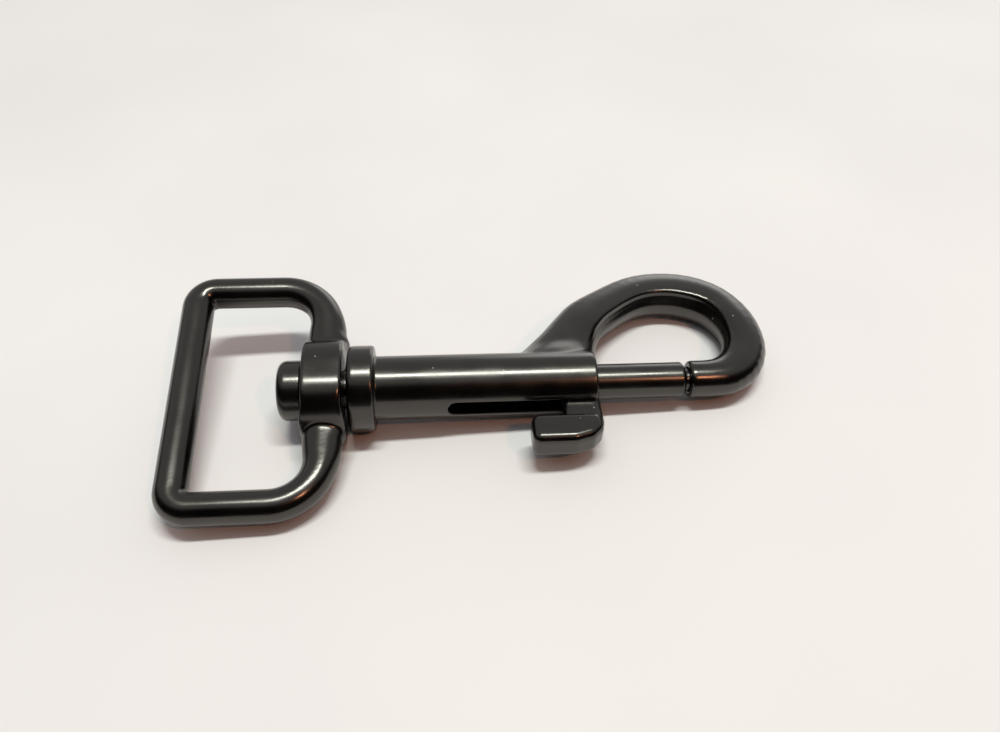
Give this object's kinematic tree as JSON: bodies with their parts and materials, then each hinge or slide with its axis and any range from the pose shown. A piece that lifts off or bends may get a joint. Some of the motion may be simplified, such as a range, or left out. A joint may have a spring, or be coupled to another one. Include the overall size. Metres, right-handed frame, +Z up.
{
  "type": "snap hook",
  "caption": "Black cast swivel snap hook with a rectangular strap eye, a slotted barrel and a sprung sliding bolt worked by a thumb knob.",
  "frame": {"origin": "centre of the strap eye's opening, on the barrel's axis", "axes": "+X along the barrel towards the hook, +Y towards the hook's arch, +Z up from the table that it lies on"},
  "size_m": [0.0883, 0.0423, 0.0128],
  "materials": {
    "black_casting": "satin",
    "black_steel": "satin",
    "spring_steel": "satin"
  },
  "bodies": {
    "hook": {"hook_body": "black_casting", "swivel_pin": "black_steel", "return_spring": "spring_steel"},
    "eye": {"strap_eye": "black_casting"},
    "bolt": {"bolt": "black_steel", "thumb_knob": "black_casting"}
  },
  "joints": [
    {"name": "eye_swivel", "type": "hinge", "parent": "hook", "child": "eye", "pos_m": [0.0095, 0, 0], "axis": [1, 0, 0], "continuous": true},
    {"name": "bolt_slide", "type": "slide", "parent": "hook", "child": "bolt", "axis": [-1, 0, 0], "range_m": [0, 0.014], "stiffness_N_per_m": 150, "springref_m": -0.006, "deforming": ["return_spring"]}
  ]
}
